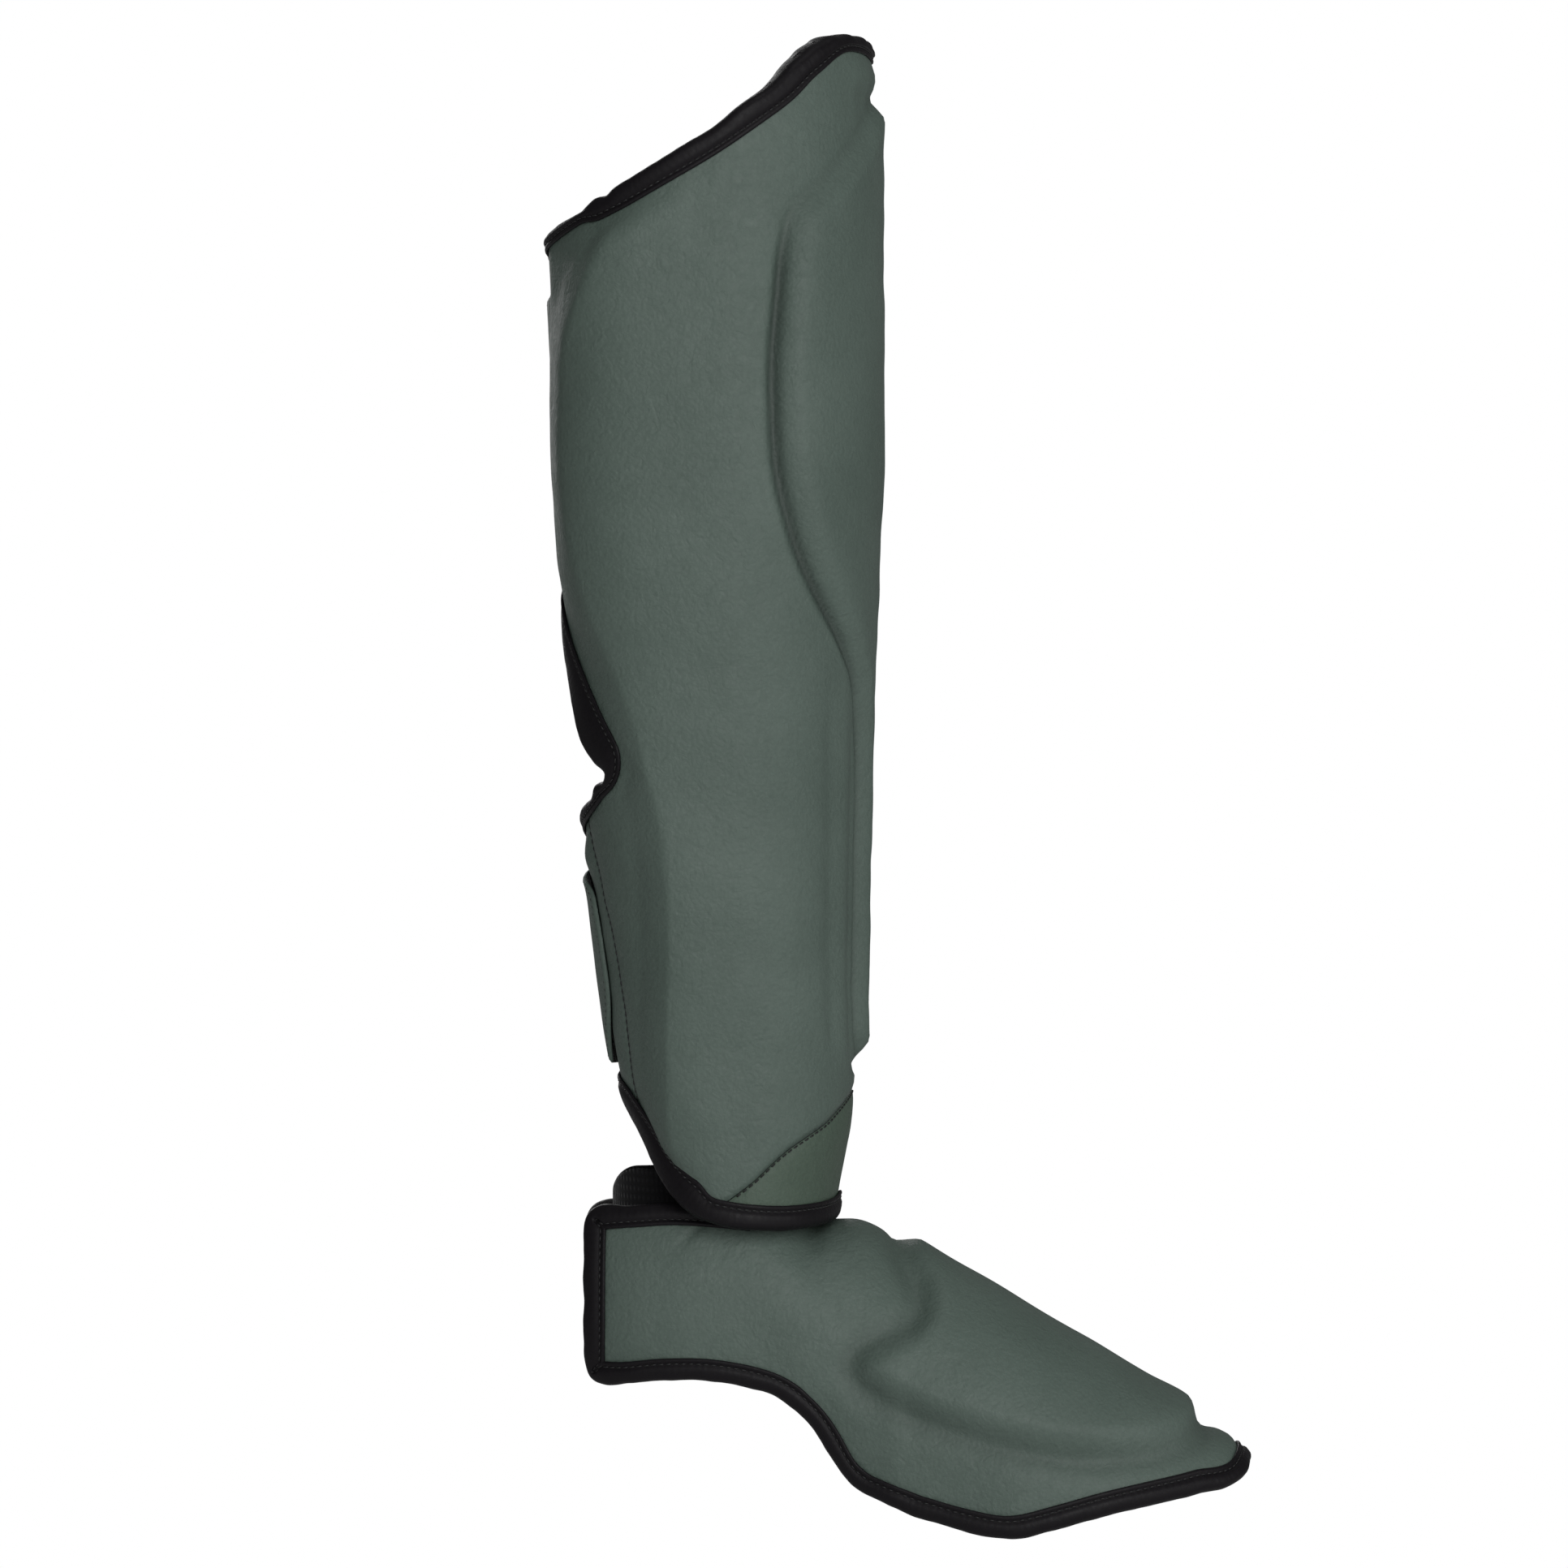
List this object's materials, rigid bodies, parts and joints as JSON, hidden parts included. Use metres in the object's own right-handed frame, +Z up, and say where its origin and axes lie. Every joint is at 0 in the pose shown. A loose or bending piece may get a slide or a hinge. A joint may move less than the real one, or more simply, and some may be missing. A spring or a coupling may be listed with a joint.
{
  "type": "muay thai shin guard",
  "caption": "Padded shin and instep guard for a leg, open at the calf, with bound edges, calf straps and a foot cover.",
  "frame": {"origin": "centre of the ankle opening, where the shin shell's rim meets the foot cover's collar", "axes": "+Z up the shin, +X towards the toes, +Y to the wearer's side away from the picture's camera"},
  "size_m": [0.2421, 0.1326, 0.5151],
  "materials": {
    "green_leather": "satin synthetic leather over foam",
    "black_binding": "satin synthetic leather, ribbed",
    "black_webbing": "matt woven elastic"
  },
  "bodies": {
    "root": {"shin_shell": "green_leather", "ankle_panel": "green_leather", "lower_wing_right": "green_leather", "lower_wing_left": "green_leather", "knee_binding": "black_binding", "ankle_binding": "black_binding", "back_binding_right": "black_binding", "back_binding_left": "black_binding", "upper_calf_strap": "green_leather", "lower_calf_strap": "green_leather", "foot_cover": "green_leather", "sole_edge_binding": "black_binding", "collar_binding_right": "black_binding", "collar_binding_left": "black_binding", "heel_binding_right": "black_binding", "heel_binding_left": "black_binding", "heel_strap": "black_webbing", "sole_strap": "black_webbing"}
  },
  "joints": []
}
